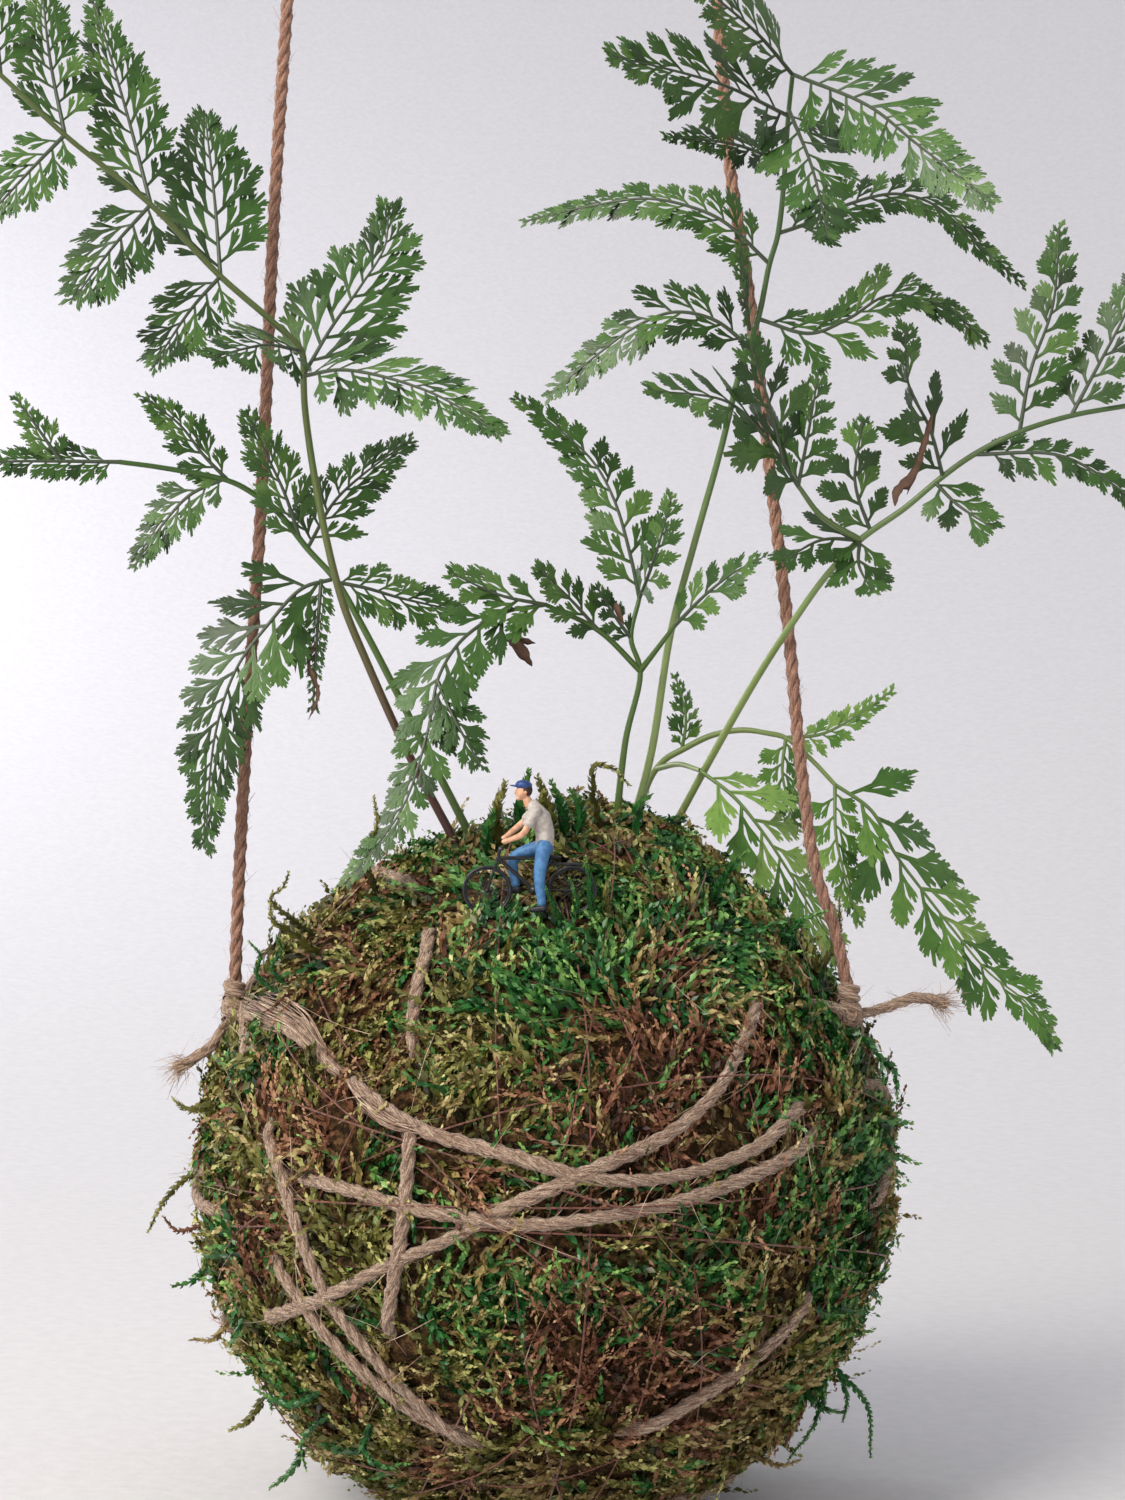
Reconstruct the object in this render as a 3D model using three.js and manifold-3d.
// Kokedama: a fern in a ball of soil, wrapped in sheet moss, bound with thread and jute twine and hung
// as a string garden, with a miniature cyclist standing in the moss.
// Millimetres, +Z up. The origin is the middle of the small flat spot that the ball rests on, and the
// front, where the cyclist is, faces -Y.
import * as THREE from "three";
import { mergeVertices } from "three/addons/utils/BufferGeometryUtils.js";
import Module from "manifold-3d";

const wasm = await Module();
wasm.setup();

// Driving dimensions.
const BALL_MIDDLE = 50; // height of the ball's middle over the spot it rests on
const MOSS_RADIUS = 51.2; // mean radius of the moss, over its relief
const MOSS_RELIEF = 0.9; // how far its cushions rise and fall
const MOSS_THICKNESS = 8.5;
const GAP = 0.3; // between pieces that touch
const SEAM = 0.08; // seams between joined solids are tidied within this
const TWINE = 2; // jute twine, diameter
const THREAD = 0.4; // binding thread, diameter
const THREAD_HEIGHT = 0.47; // of the thread's middle over the moss
const TWINE_HEIGHT = 2.1; // of the twine's middle over the moss: it is wound over the thread
const ROOT_DEPTH = 16; // of a stipe below the moss, in the moss and the soil
const STIPE_RADIUS = 0.9;
const HOLE_RADIUS = 1.4;
const BLADE_THICKNESS = 0.66;
const LEAFLET_ANGLE = THREE.MathUtils.degToRad(52); // between a leaflet and its rib
const BLADE_ARCH = 0.22; // how far leaflets curl back, as a share of their length
const LEDGE = { x: [-13, 9], y: [-36, -27.5], z: 90 }; // pressed flat in the moss for the cyclist
const KNOTS = [
  [-170, 28],
  [-17.5, 28],
]; // azimuth and elevation on the ball, in degrees

const UP = new THREE.Vector3(0, 0, 1);
const vector = (point) => new THREE.Vector3(...point);

// ---- Solids -------------------------------------------------------------------------------------

function solidOf(geometry) {
  const bare = new THREE.BufferGeometry().setAttribute("position", geometry.getAttribute("position"));
  if (geometry.index) bare.setIndex(geometry.index);
  const { attributes, index } = mergeVertices(bare, 1e-4);
  const mesh = new wasm.Mesh({
    numProp: 3,
    vertProperties: new Float32Array(attributes.position.array),
    triVerts: new Uint32Array(index.array),
  });
  return new wasm.Manifold(mesh);
}

function meshOf(name, solid, color, roughness) {
  const { vertProperties, triVerts } = solid.getMesh();
  const geometry = new THREE.BufferGeometry()
    .setAttribute("position", new THREE.BufferAttribute(vertProperties, 3))
    .setIndex(new THREE.BufferAttribute(triVerts, 1));
  geometry.computeVertexNormals();
  const material = new THREE.MeshStandardMaterial({ color, roughness, metalness: 0 });
  const mesh = new THREE.Mesh(geometry, material);
  mesh.name = name;
  return mesh;
}

// Solids made one, without the slivers that lie along their seams.
const joined = (solids) => wasm.Manifold.union(solids).simplify(SEAM);

// A geometry through rings of points, each ring going round the direction of travel anticlockwise.
function swept(rings, closed) {
  const sides = rings[0].length;
  const index = [];
  const spans = closed ? rings.length : rings.length - 1;
  for (let i = 0; i < spans; i++) {
    const here = i * sides;
    const there = ((i + 1) % rings.length) * sides;
    for (let k = 0; k < sides; k++) {
      const next = (k + 1) % sides;
      index.push(here + k, here + next, there + next, here + k, there + next, there + k);
    }
  }
  const last = (rings.length - 1) * sides;
  for (let k = 1; k < sides - 1 && !closed; k++) {
    index.push(0, k + 1, k, last, last + k, last + k + 1);
  }
  const points = rings.flat().flatMap((p) => p.toArray());
  return new THREE.BufferGeometry()
    .setAttribute("position", new THREE.Float32BufferAttribute(points, 3))
    .setIndex(index);
}

function ringAt(middle, across, over, radius, sides) {
  return Array.from({ length: sides }, (_, k) => {
    const turn = (2 * Math.PI * k) / sides;
    return middle
      .clone()
      .addScaledVector(across, radius * Math.cos(turn))
      .addScaledVector(over, radius * Math.sin(turn));
  });
}

const curveThrough = (points) =>
  new THREE.CatmullRomCurve3(points.map(vector), false, "centripetal");

// A stem that tapers evenly from one radius to another, with a ring at every point of its route and
// more between points that lie further apart than a span.
function stem(points, from, to, { sides = 5, span = 12 } = {}) {
  const curve = curveThrough(points);
  const places = [0];
  points.slice(1).forEach((point, i) => {
    const parts = Math.ceil(vector(point).distanceTo(vector(points[i])) / span);
    for (let k = 1; k <= parts; k++) places.push((i + k / parts) / (points.length - 1));
  });
  const middles = places.map((place) => curve.getPoint(place));
  const along = places.map((place) => curve.getTangent(place));
  // Each ring is turned as little as it can be from the one before.
  const level = Math.abs(along[0].y) < 0.9 ? new THREE.Vector3(0, 1, 0) : new THREE.Vector3(1, 0, 0);
  let across = level.cross(along[0]).normalize();
  const rings = middles.map((middle, i) => {
    across = across.clone().addScaledVector(along[i], -across.dot(along[i])).normalize();
    const radius = THREE.MathUtils.lerp(from, to, i / (middles.length - 1));
    return ringAt(middle, across, along[i].clone().cross(across), radius, sides);
  });
  return solidOf(swept(rings, false));
}

function box([x0, x1], [y0, y1], [z0, z1]) {
  const geometry = new THREE.BoxGeometry(x1 - x0, y1 - y0, z1 - z0);
  return solidOf(geometry.translate((x0 + x1) / 2, (y0 + y1) / 2, (z0 + z1) / 2));
}

// An ellipsoid of few faces.
function pebble(middle, [rx, ry, rz], detail = 1) {
  const geometry = new THREE.IcosahedronGeometry(1, detail).scale(rx, ry, rz);
  return solidOf(geometry.translate(...middle));
}

// ---- The ball -----------------------------------------------------------------------------------

// The moss lies in low cushions, smoother where the cyclist stands.
function mossRadius(direction) {
  const { x, y, z } = direction;
  const broad = Math.sin(6.1 * x + 2.3 * z + 0.4) * Math.sin(5.3 * y - 2.9 * z + 1.1);
  const fine = Math.sin(11 * x - 4 * y + 7 * z) * Math.sin(9 * y + 6 * z - 5 * x + 0.7);
  const toLedge = Math.hypot(x + 0.04, y + 0.58, z - 0.78);
  const calm = Math.min(1, toLedge / 0.45);
  return MOSS_RADIUS + MOSS_RELIEF * calm * (0.65 * broad + 0.35 * fine);
}

function direction(azimuth, elevation) {
  const spherical = new THREE.Spherical(
    1,
    THREE.MathUtils.degToRad(90 - elevation),
    THREE.MathUtils.degToRad(azimuth + 90),
  );
  // three.js measures from +Y, and this frame from +Z.
  const { x, y, z } = new THREE.Vector3().setFromSpherical(spherical);
  return new THREE.Vector3(x, -z, y);
}

// The point that lies a height over the moss in a direction from the ball's middle.
function onMoss(towards, height) {
  const unit = towards.clone().normalize();
  return unit.multiplyScalar(mossRadius(unit) + height).addScaledVector(UP, BALL_MIDDLE);
}

function ballOf(radiusAt, detail) {
  const geometry = new THREE.IcosahedronGeometry(1, detail);
  const position = geometry.getAttribute("position");
  for (let i = 0; i < position.count; i++) {
    const unit = new THREE.Vector3().fromBufferAttribute(position, i).normalize();
    const point = unit.clone().multiplyScalar(radiusAt(unit));
    position.setXYZ(i, point.x, point.y, point.z + BALL_MIDDLE);
  }
  return solidOf(geometry);
}

const CAVITY_RADIUS = MOSS_RADIUS - MOSS_THICKNESS;

// A loop wound round the ball at a height over the moss, through points given by azimuth and elevation.
function winding(route, height, diameter, sides, step) {
  const units = route.map(([azimuth, elevation]) => direction(azimuth, elevation));
  const loop = new THREE.CatmullRomCurve3(units, true, "centripetal");
  const steps = Math.round((loop.getLength() * MOSS_RADIUS) / step);
  const middles = Array.from({ length: steps }, (_, i) => onMoss(loop.getPointAt(i / steps), height));
  const rings = middles.map((middle, i) => {
    const before = middles[(i + steps - 1) % steps];
    const after = middles[(i + 1) % steps];
    const along = after.clone().sub(before).normalize();
    const outward = middle.clone().addScaledVector(UP, -BALL_MIDDLE);
    outward.addScaledVector(along, -outward.dot(along)).normalize();
    const sideways = along.clone().cross(outward);
    return ringAt(middle, outward, sideways, diameter / 2, sides);
  });
  return solidOf(swept(rings, true));
}

// A circle round the ball, given by the azimuth and elevation of its pole.
function circleRound(azimuth, elevation, points = 12) {
  const pole = direction(azimuth, elevation);
  const across = pole.clone().cross(UP).normalize();
  const over = pole.clone().cross(across);
  return Array.from({ length: points }, (_, i) => {
    const turn = (2 * Math.PI * i) / points;
    const unit = across.clone().multiplyScalar(Math.cos(turn)).addScaledVector(over, Math.sin(turn));
    const degrees = THREE.MathUtils.radToDeg;
    return [degrees(Math.atan2(unit.y, unit.x)), degrees(Math.asin(unit.z))];
  });
}

// ---- Twine --------------------------------------------------------------------------------------

// The loops of twine round the ball, each [azimuth, elevation] in degrees.
const TWINE_LOOPS = [
  // from the left knot across the front, and back round behind
  [[-170, 28], [-139, 27], [-124, 21], [-109, 14], [-95, 10.5], [-82, 7], [-70, 7], [-55, 10.5], [-46, 15],
    [-22, 17], [12, 9], [50, 2], [90, 0], [130, 8], [165, 21]],
  // from the right knot down to the left
  [[-17.5, 28], [-31, 34], [-44, 34], [-53, 27], [-61, 19.5], [-71, 13], [-81, 9], [-96, 2.5], [-104, -2],
    [-113, -6], [-127, -13], [-141, -18], [-165, -24], [165, -22], [135, -12], [100, 8], [60, 22], [22, 29]],
  // low across the front
  [[-126, 5], [-111, 2.5], [-93, 0.5], [-82, 1.5], [-70, 3.2], [-58, 6], [-45, 10], [-22, 22], [10, 27],
    [50, 25], [100, 15], [140, 4], [175, 0], [-152, 4]],
  // upright, left of the middle, passing beside the fern
  [[-114, 33], [-116, 45], [-128, 56], [-158, 60], [165, 55], [130, 43], [106, 24], [96, 0], [101, -25],
    [122, -45], [172, -56], [-143, -50], [-122, -33], [-114, -13], [-111, 3], [-111, 18]],
  // round the underside in front
  [[-137, -9], [-129, -17], [-119, -27], [-109, -34], [-95, -38], [-82, -38], [-68, -33], [-56, -26],
    [-45, -15], [-28, -3], [-5, 8], [30, 17], [70, 20], [110, 16], [150, 6], [-175, -2], [-153, -4]],
  // steep, on the left
  [[-138, 10], [-131, -1], [-124, -14], [-116, -25], [-103, -38], [-82, -50], [-48, -57], [-10, -54],
    [22, -40], [46, -20], [70, 2], [100, 22], [140, 34], [175, 34], [-156, 24]],
];

// The poles of the thread's rounds.
const THREAD_POLES = [
  [20, 72],
  [-115, 42],
];

// The free twines, from the knots to just under their top loops.
const HANGING_LEFT = [
  [-46.1, -8.1, 77.5], [-45.7, -7.6, 91], [-44.4, -5.4, 121], [-43.1, -4, 142], [-42.5, -3.4, 154],
  [-40.8, -1.5, 197], [-39, 0, 228],
];
const HANGING_RIGHT = [
  [44.6, -14.1, 77.5], [42.6, -13.4, 87], [39.8, -12.5, 96], [37.7, -11, 112], [36.3, -10, 128.5],
  [34.2, -9, 148], [29.9, -7, 185], [27.7, -6, 200], [26.4, -5.4, 217], [25.6, -5, 228],
];
const LOOP_RADIUS = 4.5; // of the middle of the twine, in each top loop
const KNOT_RADIUS = 1.9;
const KNOT_HEIGHT = 4.6;

// The frayed ends left at the knots.
const TAIL_LEFT = [[-46.7, -8, 74], [-49.8, -7, 69.5], [-55, -6.5, 66]];
const TAIL_RIGHT = [[44.8, -14, 74.5], [50, -12, 75.6], [55, -10.5, 77], [59.5, -9.5, 76]];

// A cord's tube along its route.
function cord(points) {
  const path = curveThrough(points);
  const ring = Array.from({ length: 8 }, (_, k) => {
    const turn = (Math.PI * (2 * k + 1)) / 8;
    return new THREE.Vector2(Math.cos(turn), Math.sin(turn)).multiplyScalar(TWINE / 2);
  });
  const steps = Math.round(path.getLength() / (3 * TWINE));
  const geometry = new THREE.ExtrudeGeometry(new THREE.Shape(ring), {
    extrudePath: path,
    steps,
    bevelEnabled: false,
  });
  return solidOf(geometry);
}

// Two turns of twine drawn tight, round the cord's own line.
function knot(middle, axis) {
  const half = KNOT_HEIGHT / 2;
  const profile = [
    [0, -half], [0.62 * KNOT_RADIUS, -half], [KNOT_RADIUS, -0.5 * half], [0.72 * KNOT_RADIUS, 0],
    [KNOT_RADIUS, 0.5 * half], [0.62 * KNOT_RADIUS, half], [0, half],
  ];
  const geometry = new THREE.LatheGeometry(profile.map(([r, h]) => new THREE.Vector2(r, h)), 7);
  const upright = new THREE.Vector3(0, 1, 0);
  geometry.applyQuaternion(new THREE.Quaternion().setFromUnitVectors(upright, axis.clone().normalize()));
  return solidOf(geometry.translate(...middle));
}

// A tail whose strands open out to a blunt brush.
function tail(points) {
  const end = points.length - 1;
  const brush = stem(points.slice(end - 1), 0.45 * TWINE, 0.9 * TWINE);
  return joined([stem(points, TWINE / 2, 0.45 * TWINE), brush]);
}

function twineWrap() {
  const loops = TWINE_LOOPS.map((route) => winding(route, TWINE_HEIGHT, TWINE, 4, 13));
  const knots = KNOTS.map(([azimuth, elevation]) =>
    knot(onMoss(direction(azimuth, elevation), TWINE_HEIGHT).toArray(), UP),
  );
  return joined([...loops, ...knots, tail(TAIL_LEFT), tail(TAIL_RIGHT)]);
}

// A twine's top: a knot under an open eye.
function topLoop(route) {
  const end = vector(route.at(-1));
  const knotMiddle = end.clone().addScaledVector(UP, GAP + KNOT_HEIGHT / 2);
  const ring = new THREE.TorusGeometry(LOOP_RADIUS, TWINE / 2, 6, 12).rotateX(Math.PI / 2);
  const ringMiddle = knotMiddle.clone().addScaledVector(UP, KNOT_HEIGHT * 0.3 + LOOP_RADIUS);
  return joined([knot(knotMiddle.toArray(), UP), solidOf(ring.translate(...ringMiddle.toArray()))]);
}

// ---- Fern ---------------------------------------------------------------------------------------

// One thin arched blade with its leaflets cut to the rib. Its rib follows points, and facing is the way
// that its upper side looks. The same triangles make both faces.
function blade([halfWidth, pairs, ...points], facing) {
  const rib = curveThrough(points);
  const face = vector(facing).normalize();
  const length = rib.getLength();
  const bare = 0.1; // share of the rib before the first leaflets
  const broad = Math.ceil(0.6 * pairs); // leaflets on each side that are wider than a spike
  const pitch = (1 - bare) / (pairs + 1.2);
  const outline = [];
  const place = (u, along, across) => {
    const at = Math.min(u, 1);
    const forward = rib.getTangentAt(at);
    const sideways = face.clone().cross(forward).normalize();
    const upward = forward.clone().cross(sideways);
    const curl = (-BLADE_ARCH * across * across) / halfWidth;
    const point = rib
      .getPointAt(at)
      .addScaledVector(forward, along)
      .addScaledVector(sideways, across)
      .addScaledVector(upward, curl);
    return outline.push({ point, upward }) - 1;
  };
  const ribHalf = (u) => THREE.MathUtils.lerp(0.6, 0.35, u);
  const reach = (u) => halfWidth * Math.min(1, 0.72 + 1.6 * u) * (1 - 0.78 * Math.pow(u, 1.4));
  const triangles = [];
  const edgeOf = (side) => {
    const first = side > 0 ? bare : bare + pitch / 2;
    const notches = [place(0, 0, side * ribHalf(0))];
    for (let k = 0; k <= pairs; k++) {
      const u = first + k * pitch;
      notches.push(place(u, 0, side * ribHalf(u)));
    }
    const border = [notches[0]];
    for (let k = 1; k <= pairs; k++) {
      const u = first + (k - 0.5) * pitch;
      const long = reach(u);
      const wide = 0.4 * pitch * length * Math.sin(LEAFLET_ANGLE);
      const cos = Math.cos(LEAFLET_ANGLE);
      const sin = Math.sin(LEAFLET_ANGLE);
      const tip = place(u, long * cos, side * long * sin);
      const faces = [[notches[k], notches[k + 1], tip]];
      border.push(notches[k]);
      if (k <= broad) {
        const shoulder = place(u, 0.62 * long * cos - wide * sin, side * (0.62 * long * sin + wide * cos));
        border.push(shoulder);
        faces.push([notches[k], tip, shoulder]);
      }
      border.push(tip);
      triangles.push(...(side > 0 ? faces : faces.map((f) => f.toReversed())));
    }
    border.push(notches[pairs + 1]);
    return { notches, border };
  };
  const left = edgeOf(1);
  const right = edgeOf(-1);
  const apex = place(1, 0, 0);
  for (let k = 0; k <= pairs; k++) {
    triangles.push([left.notches[k], right.notches[k], left.notches[k + 1]]);
    triangles.push([right.notches[k], right.notches[k + 1], left.notches[k + 1]]);
  }
  triangles.push([left.notches[pairs + 1], right.notches[pairs + 1], apex]);

  const border = [...right.border, apex, ...left.border.toReversed()];
  const count = outline.length;
  const index = triangles.flatMap(([a, b, c]) => [a, b, c, c + count, b + count, a + count]);
  border.forEach((a, i) => {
    const b = border[(i + 1) % border.length];
    index.push(a + count, b + count, b, a + count, b, a);
  });
  const side = (sign) =>
    outline.flatMap(({ point, upward }) =>
      point.clone().addScaledVector(upward, (sign * BLADE_THICKNESS) / 2).toArray(),
    );
  const geometry = new THREE.BufferGeometry()
    .setAttribute("position", new THREE.Float32BufferAttribute([...side(1), ...side(-1)], 3))
    .setIndex(index);
  return solidOf(geometry);
}

// A frond: base is where its stipe leaves the moss, stipe its route from there to its tip, ribs its side
// arms, and blades its pinnae, each [half width, pairs of leaflets, points of its rib].
const FRONDS = {
  frond_upper_left: {
    color: 0x47733a,
    facing: [0.15, -0.85, 0.5],
    base: [-12.3, -12, 98.4],
    stipe: [[-20.5, -13, 114], [-26.3, -14, 127], [-29.5, -14.5, 135], [-32, -14, 144.5], [-34.2, -13, 156],
      [-35.3, -13, 164.5], [-35.4, -13.6, 168.5], [-35.6, -14.4, 172], [-39.7, -17, 176], [-46.8, -20, 182], [-56, -26, 191.2],
      [-67, -33, 199.6], [-75, -38, 206.8], [-75.8, -38.5, 207.4]],
    ribs: [],
    blades: [
      [9.5, 6, [-35.4, -13.6, 168.5], [-31.7, -11, 175.6], [-27.5, -7.5, 182.5], [-24, -5, 189], [-23.5, -4, 195]],
      [7, 5, [-35.4, -13.6, 168.5], [-28.7, -20, 168.5], [-16, -30, 164], [-5.5, -38, 157]],
      [6.5, 4, [-35.6, -14.4, 172], [-40, -24, 171.5], [-46.5, -33, 168.5]],
      [8.5, 5, [-46.8, -20, 182], [-48, -17, 193.5], [-49.7, -14, 206]],
      [6, 4, [-46.8, -20, 182], [-50.7, -23, 176.7], [-55.6, -27, 168]],
      [7, 5, [-56, -26, 191.2], [-60, -23, 205.4], [-65, -20, 221.5]],
      [6.5, 4, [-56, -26, 191.2], [-60.6, -29, 185], [-66, -32, 176.7]],
      [6, 5, [-67, -33, 199.6], [-69.4, -31, 210.5], [-71, -29, 222]],
      [5.5, 4, [-67, -33, 199.6], [-71.3, -36, 194], [-77, -38, 187]],
      [5, 4, [-75, -38, 206.8], [-79.5, -41, 210.3], [-85, -44, 214.5]],
      [5, 4, [-75, -38, 206.8], [-76, -37, 214.7], [-78, -36, 223]],
    ],
  },
  frond_left: {
    color: 0x4a7a38,
    facing: [0.05, -0.88, 0.46],
    base: [-10.3, -7.5, 99.3],
    stipe: [[-18.4, -7.5, 115], [-27.4, -7, 132.4], [-31.1, -7, 138.8], [-35.4, -7, 143.6], [-39.6, -8.4, 148.8],
      [-43.7, -9.4, 151.9], [-46.8, -10.4, 153.4], [-56.3, -14, 155], [-62, -16, 155.6]],
    ribs: [],
    blades: [
      [8.5, 7, [-31.8, -7, 139], [-36, -8.5, 137.6], [-41, -10.5, 132], [-45.5, -11.5, 125.5],
        [-48.5, -12, 116], [-50, -12, 100]],
      [5.5, 4, [-31.1, -7, 138.6], [-26.8, -6, 137.8], [-21.7, -4, 136.4], [-12.5, 0, 134.5]],
      [5, 5, [-36.5, -7.3, 145], [-38.5, -10, 151.5], [-41, -11, 157], [-44, -11.5, 163.5]],
      [6, 5, [-35.4, -7, 143.6], [-31.8, -3, 150.8], [-28, 0, 155], [-20.5, 3, 161]],
      [4.5, 4, [-47.5, -10.7, 153.6], [-52.3, -11.5, 151.2], [-56, -12.5, 147], [-60.2, -14, 140.5]],
      [4.5, 4, [-46.8, -10.4, 153.4], [-50.3, -11.5, 157], [-53.8, -12, 161.5], [-59, -13, 165.5]],
      [3.6, 5, [-62, -16, 155.6], [-70, -19, 155.4], [-78, -22, 155], [-85, -24, 154]],
      [3, 3, [-70, -19, 155.3], [-73, -20, 159.8], [-76.3, -20.5, 164.5]],
      [2.2, 3, [-33.3, -7.4, 139], [-33.8, -9.4, 130], [-34.4, -9.6, 119]],
    ],
  },
  frond_middle: {
    color: 0x43703a,
    facing: [0, -0.82, 0.57],
    base: [10.5, -1, 100.2],
    stipe: [[12.1, -2, 115], [14.3, -3, 125.5], [12.9, -2.5, 130.4], [14.2, -1, 136.5]],
    ribs: [
      [[14.3, -3, 125.5], [8.1, -5, 131.4], [0.1, -8, 135.2]],
      [[14.3, -3, 125.5], [19.4, -7, 132.2]],
    ],
    blades: [
      [6, 4, [0.1, -8, 135.2], [-6.6, -10, 136.5], [-13.5, -12, 139.5]],
      [4.5, 3, [8.1, -5, 131.4], [3.8, -7.5, 136], [-1.5, -10.5, 141]],
      [6.5, 6, [0.1, -8, 135.2], [-5.8, -10, 134], [-11.7, -13, 130.2], [-15.3, -16.5, 124.5],
        [-17, -19.5, 115.8], [-20.5, -23, 105], [-28.5, -26, 94.5]],
      [4.5, 3, [-15.5, -17, 123.5], [-13, -19.5, 118], [-9, -21, 111]],
      [6, 6, [14.2, -1, 136.5], [13, 0, 142.5], [10.5, 2, 151.5], [7, 4, 158], [0.3, 4, 164], [-4.5, 3, 167.5]],
      [4.5, 3, [14.2, -1, 136.5], [16, -6.5, 141.3], [17.6, -10, 146.6], [18.6, -12, 151]],
      [3, 3, [12.9, -2.5, 130.4], [10, -4.5, 134.3], [7.5, -6, 138.5]],
      [4.5, 4, [19.4, -7, 132.2], [23.9, -10.5, 136.7], [28, -13, 139.8], [31.5, -15, 141.5]],
    ],
  },
  frond_tall: {
    color: 0x3f6b35,
    facing: [0, -0.6, 0.8],
    base: [12.5, 3, 99.6],
    stipe: [[16, 2, 112.7], [19, -2, 131.7], [22.2, -5, 144], [26.1, -8, 158.2], [28.9, -10.4, 169.8],
      [31.4, -12, 177.1], [33, -13, 185], [34.2, -14, 189.3], [35, -17, 198.9], [35.2, -20, 205.2],
      [35.5, -24, 210.2]],
    ribs: [],
    blades: [
      [5, 6, [33, -13, 185], [26.4, -14, 190.9], [22, -13.5, 193.1], [15, -12.5, 194.7], [5, -10, 193.7],
        [-3, -9, 192]],
      [5, 6, [34.2, -14, 189.3], [38.3, -14, 190.7], [45, -13, 193.9], [51.8, -12, 195.5],
        [57.4, -11, 194.1], [63.7, -10, 188.8], [71, -9, 182.5]],
      [6, 5, [29.8, -11, 173.5], [24.8, -12.5, 176.9], [19, -12.5, 178], [13.5, -12, 176], [7.8, -11, 172],
        [0.5, -10, 166]],
      [6, 5, [31.4, -12, 177.1], [39, -13, 174.8], [44.7, -13, 177], [50.6, -12, 180.5], [59.3, -10, 179],
        [65.5, -8, 174.2]],
      [2.6, 2, [30.1, -11.5, 175.5], [29.2, -15.5, 181.5], [28.2, -19, 188.5]],
      [6.5, 4, [35.5, -24, 210.2], [30.3, -31, 214], [23.4, -39, 217.5], [19, -43, 220]],
      [8, 5, [35.2, -20, 205.2], [24.6, -34, 206.5], [9.5, -48, 207]],
      [7, 5, [35.5, -24, 210.2], [45, -36, 203], [50.6, -46, 195.5], [59.5, -56, 185.5]],
      [7, 5, [35.2, -20.5, 206], [37.5, -34, 194.5], [38.5, -47, 182.5]],
      [4, 4, [35, -17, 198.9], [27.3, -24, 200.2], [17, -32, 199.6]],
    ],
  },
  frond_right: {
    color: 0x4d7c3c,
    facing: [-0.1, -0.8, 0.55],
    base: [17.5, 10, 97.3],
    stipe: [[24.7, 4, 111.3], [31.7, -6, 124.5], [36.4, -14, 132.4], [40.8, -18, 138.8], [45.5, -20.5, 143.9],
      [51.7, -22, 148.3], [57.1, -23, 152.8], [61.5, -24, 155.9], [67.8, -25, 159], [75.2, -25, 161.3],
      [83, -25, 162.7]],
    ribs: [[[45.5, -20.5, 143.9], [39.5, -25, 147], [35.9, -29, 150.9]]],
    blades: [
      [5.5, 5, [67.8, -25, 159], [69.4, -25, 167.7], [72.7, -24, 177], [74, -22, 189]],
      [5.5, 5, [75.2, -25, 161.3], [78.7, -25, 167.8], [82.5, -25, 175], [86, -24, 183]],
      [4, 5, [61.5, -24, 155.9], [73.5, -26.5, 155.4], [82.5, -28, 149.8], [87, -28.5, 146]],
      [8, 5, [35.9, -29, 150.9], [30.8, -36, 156.9], [24.9, -44, 161], [14, -52, 161.5]],
      [4.5, 3, [35.9, -29, 150.9], [37, -34, 158.3], [38, -38, 166]],
      [6, 3, [33.6, -32.5, 153.7], [31, -38, 161.9], [28, -42, 169.5]],
      [6.5, 4, [57.1, -23, 152.8], [54.7, -28, 158.9], [50.6, -36, 164.5], [49.5, -42, 171.5]],
      [5, 3, [45.5, -20.5, 143.9], [39.7, -23, 143.7], [34, -25.5, 140.5]],
      [4, 2, [45.5, -20.5, 143.9], [45, -24, 140], [46.5, -28, 136]],
      [4, 4, [47, -20.8, 145], [44.6, -22.5, 152], [45.5, -24.5, 160.5]],
      [4, 3, [56, -22.8, 152], [58.8, -26, 148.5], [63.5, -28.5, 145]],
      [4.5, 3, [83, -25, 162.7], [88, -25, 164], [93.5, -25, 163.5]],
    ],
  },
  frond_low_right: {
    color: 0x668f4c,
    facing: [0.35, -0.75, 0.5],
    base: [13, 17, 96.4],
    stipe: [[16.2, 15, 108.8], [18.5, 14, 112], [21.2, 13, 113.6], [25.9, 11.5, 115.9], [30.5, 10, 116.7],
      [34.3, 9, 116.2], [37.1, 9, 115.5], [41, 9, 112.2], [44.7, 9, 108.3]],
    ribs: [[[17.4, 14.4, 110.7], [20.5, 8, 111.4], [23.5, 1, 110.5]]],
    blades: [
      [10, 8, [44.7, 9, 108.3], [50.4, 9, 104.2], [54.2, 10, 97.5], [58.2, 11, 92.2], [63.2, 12, 85.9],
        [69, 13, 79], [75.3, 14, 73.9], [79.5, 15, 67.5]],
      [4.5, 4, [37.1, 9, 115.5], [36.5, 7.5, 109.7], [38.8, 7, 101.5]],
      [5, 5, [44.7, 9, 108.3], [44.8, 7, 99.7], [48.2, 6.5, 87]],
      [3.2, 5, [37.1, 9, 115.5], [42.5, 9, 116], [47.3, 10, 118.3], [54, 11, 123]],
      [2.8, 3, [21.2, 13, 113.6], [21.8, 12, 118.6], [20.2, 11, 125]],
      [8.5, 7, [23.5, 1, 110.5], [28.5, -1, 106.5], [33, -1, 101], [37, 0, 95], [41, 2, 88.5], [45, 5, 82]],
    ],
  },
};

// The straight length of a stipe that stands in the moss and the soil.
function rootOf({ base, stipe }) {
  const foot = vector(base);
  return foot.addScaledVector(vector(stipe[0]).sub(foot).normalize(), -ROOT_DEPTH);
}

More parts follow.
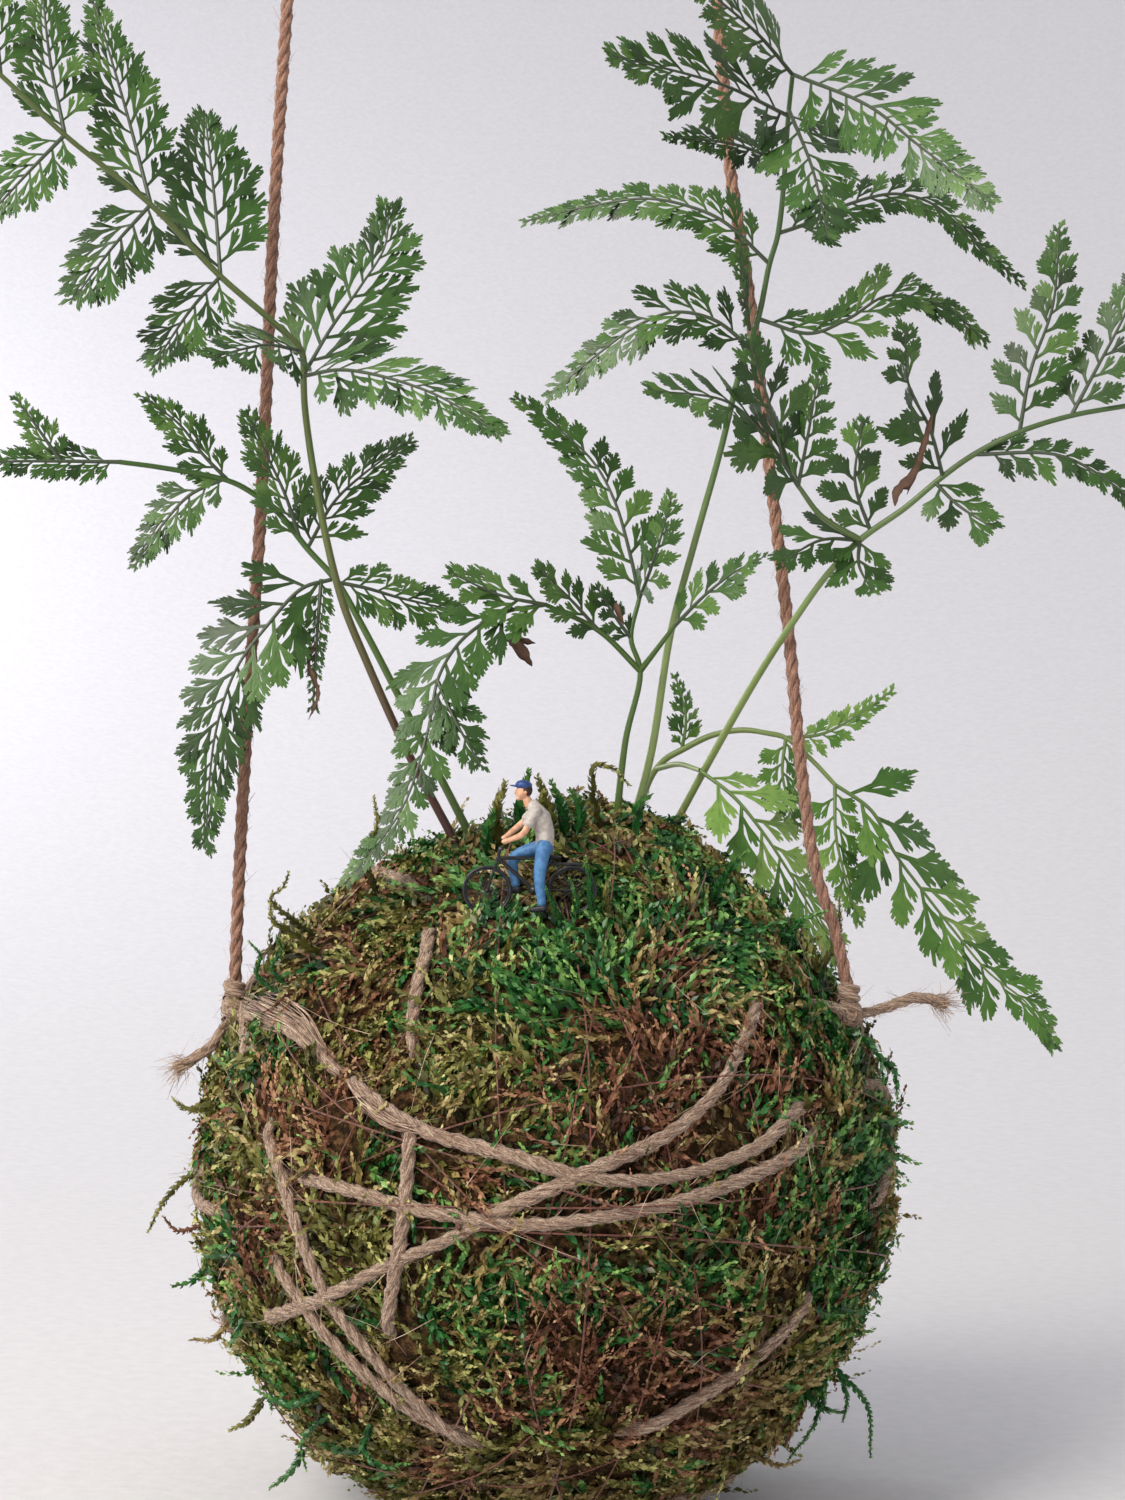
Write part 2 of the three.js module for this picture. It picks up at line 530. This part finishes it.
function frond({ facing, base, stipe, ribs, blades, ...rest }) {
  const root = rootOf({ base, stipe }).toArray();
  const stems = [stem([root, base, ...stipe], STIPE_RADIUS, 0.5)];
  stems.push(...ribs.map((points) => stem(points, 0.65, 0.45, { sides: 4 })));
  return joined([...stems, ...blades.map((pinna) => blade(pinna, facing))]);
}

// A plain hole for a stipe, from its foot in the soil out past the moss.
function stipeHole({ base, stipe }) {
  const root = rootOf({ base, stipe });
  const outward = vector(base).sub(root).normalize();
  const foot = root.addScaledVector(outward, -GAP);
  const length = ROOT_DEPTH + 5;
  const geometry = new THREE.CylinderGeometry(HOLE_RADIUS, HOLE_RADIUS, length, 7);
  geometry.translate(0, length / 2, 0);
  geometry.applyQuaternion(
    new THREE.Quaternion().setFromUnitVectors(new THREE.Vector3(0, 1, 0), outward),
  );
  return solidOf(geometry.translate(...foot.toArray()));
}

// ---- Miniature cyclist, 1:87 --------------------------------------------------------------------

const BIKE_PLANE = -30.4; // the bicycle's middle plane, along Y
const WHEEL_RADIUS = 3.5; // over the tyre
const FRONT_HUB = [-8, 0, 93.85];
const REAR_HUB = [4, 0, 93.85];
const HEAD_TUBE = [-6.5, 0, 98.4];
const CRANK = [-1.4, 0, 93.9];
const SADDLE = [1.1, 0, 98.4];
const HANDLEBAR = [-6.2, 0, 99.7];

// Points of the figure are given from the bicycle's middle plane.
const inPlane = ([x, y, z]) => [x, y + BIKE_PLANE, z];
const limb = (points, from, to, sides = 4) =>
  stem(points.map(inPlane), from, to, { sides });

function wheel(hub) {
  const rim = new THREE.TorusGeometry(WHEEL_RADIUS - 0.3, 0.3, 3, 12).rotateX(Math.PI / 2);
  const spokes = [45, 135].map((degrees) => {
    const turn = THREE.MathUtils.degToRad(degrees);
    const reach = [Math.cos(turn), 0, Math.sin(turn)].map((c) => c * (WHEEL_RADIUS - 0.3));
    const ends = [-1, 1].map((sign) => hub.map((c, i) => c + sign * reach[i]));
    return limb(ends, 0.14, 0.14, 3);
  });
  return joined([solidOf(rim.translate(...inPlane(hub))), ...spokes]);
}

function bicycle() {
  const tubes = [
    [FRONT_HUB, HEAD_TUBE],
    [HEAD_TUBE, HANDLEBAR],
    [HEAD_TUBE, SADDLE],
    [HEAD_TUBE, CRANK],
    [CRANK, SADDLE],
    [CRANK, REAR_HUB],
    [SADDLE, REAR_HUB],
  ].map((ends) => limb(ends, 0.3, 0.3));
  const [hx, , hz] = HANDLEBAR;
  const grips = limb([[hx, -2.4, hz], [hx, 2.4, hz]], 0.3, 0.3);
  const [sx, , sz] = SADDLE;
  const saddle = pebble(inPlane([sx + 0.3, 0, sz]), [1.3, 0.7, 0.35], 0);
  const rack = limb([[sx, 0, sz - 0.8], [5.2, 0, 97.5]], 0.3, 0.3);
  return joined([wheel(FRONT_HUB), wheel(REAR_HUB), ...tubes, grips, saddle, rack]);
}

function rider() {
  const head = [pebble(inPlane([-3, 0, 107.9]), [1.1, 1.05, 1.35]), pebble(inPlane([-3, 0, 108.7]), [1.25, 1.15, 0.8])];
  const peak = pebble(inPlane([-4.2, 0, 108.4]), [0.9, 0.8, 0.25], 0);
  const neck = limb([[-2.5, 0, 107.2], [-1.7, 0, 105.8]], 0.65, 0.8);
  const torso = pebble(inPlane([-0.8, 0, 103.6]), [1.75, 2.1, 2.9]);
  const hips = pebble(inPlane([0, 0, 100.7]), [1.5, 1.75, 1.35]);
  const sides = [-1, 1].map((side) => {
    const hand = side < 0 ? [-5.6, -1.9, 100.7] : [-5.7, 1.9, 101.2];
    const elbow = side < 0 ? [-2.9, -2.4, 101.8] : [-3.4, 2.4, 103];
    const arm = limb([[-1.1, side * 1.7, 105.2], elbow, hand], 0.75, 0.45);
    const legs = {
      "-1": [[0, -1.1, 100.3], [-0.6, -1.8, 95.6], [-0.3, -1.85, 91.6]],
      1: [[0, 1.1, 100.3], [-4.4, 1.65, 98.2], [-4, 1.7, 94.2]],
    };
    const leg = limb(legs[side], 1, 0.7);
    const foot = legs[side].at(-1);
    const shoe = pebble(inPlane([foot[0] - 0.6, foot[1], foot[2] - 0.5]), [1.35, 0.6, 0.65], 0);
    return joined([arm, leg, shoe]);
  });
  return joined([...head, peak, neck, torso, hips, ...sides]);
}

// ---- Assembly -----------------------------------------------------------------------------------

const fronds = Object.entries(FRONDS);
const holes = joined(fronds.map(([, parts]) => stipeHole(parts)));

const soil = ballOf(() => CAVITY_RADIUS - GAP - 0.05, 2).subtract(holes);

function mossLayer() {
  const room = box([-80, 80], [-80, 80], [0, 160]);
  const ledge = box(LEDGE.x, LEDGE.y, [LEDGE.z, 130]);
  const dents = KNOTS.map(([azimuth, elevation]) =>
    pebble(onMoss(direction(azimuth, elevation), TWINE_HEIGHT - 0.2).toArray(), [3, 3, 4]),
  );
  const cavity = ballOf(() => CAVITY_RADIUS, 2);
  return ballOf(mossRadius, 7).intersect(room).subtract(joined([cavity, holes, ledge, ...dents]));
}

const thread = THREAD_POLES.map(([azimuth, elevation]) =>
  winding(circleRound(azimuth, elevation), THREAD_HEIGHT, THREAD, 3, 8),
);

const kokedama = new THREE.Group();
kokedama.add(
  meshOf("soil_core", soil, 0x3b2a1e, 0.95),
  meshOf("moss_layer", mossLayer(), 0x4a6b2a, 0.95),
  meshOf("binding_thread", joined(thread), 0x7a4a35, 0.8),
  meshOf("twine_wrap", twineWrap(), 0xb08c70, 0.9),
  meshOf("hanging_twine_left", cord(HANGING_LEFT), 0xb08c70, 0.9),
  meshOf("hanging_twine_right", cord(HANGING_RIGHT), 0xb08c70, 0.9),
  meshOf("top_loop_left", topLoop(HANGING_LEFT), 0xb08c70, 0.9),
  meshOf("top_loop_right", topLoop(HANGING_RIGHT), 0xb08c70, 0.9),
  meshOf("figurine_bicycle", bicycle(), 0x23252b, 0.4),
  meshOf("figurine_rider", rider(), 0x4f82b5, 0.5),
);
fronds.forEach(([name, parts]) => kokedama.add(meshOf(name, frond(parts), parts.color, 0.6)));

export default kokedama;
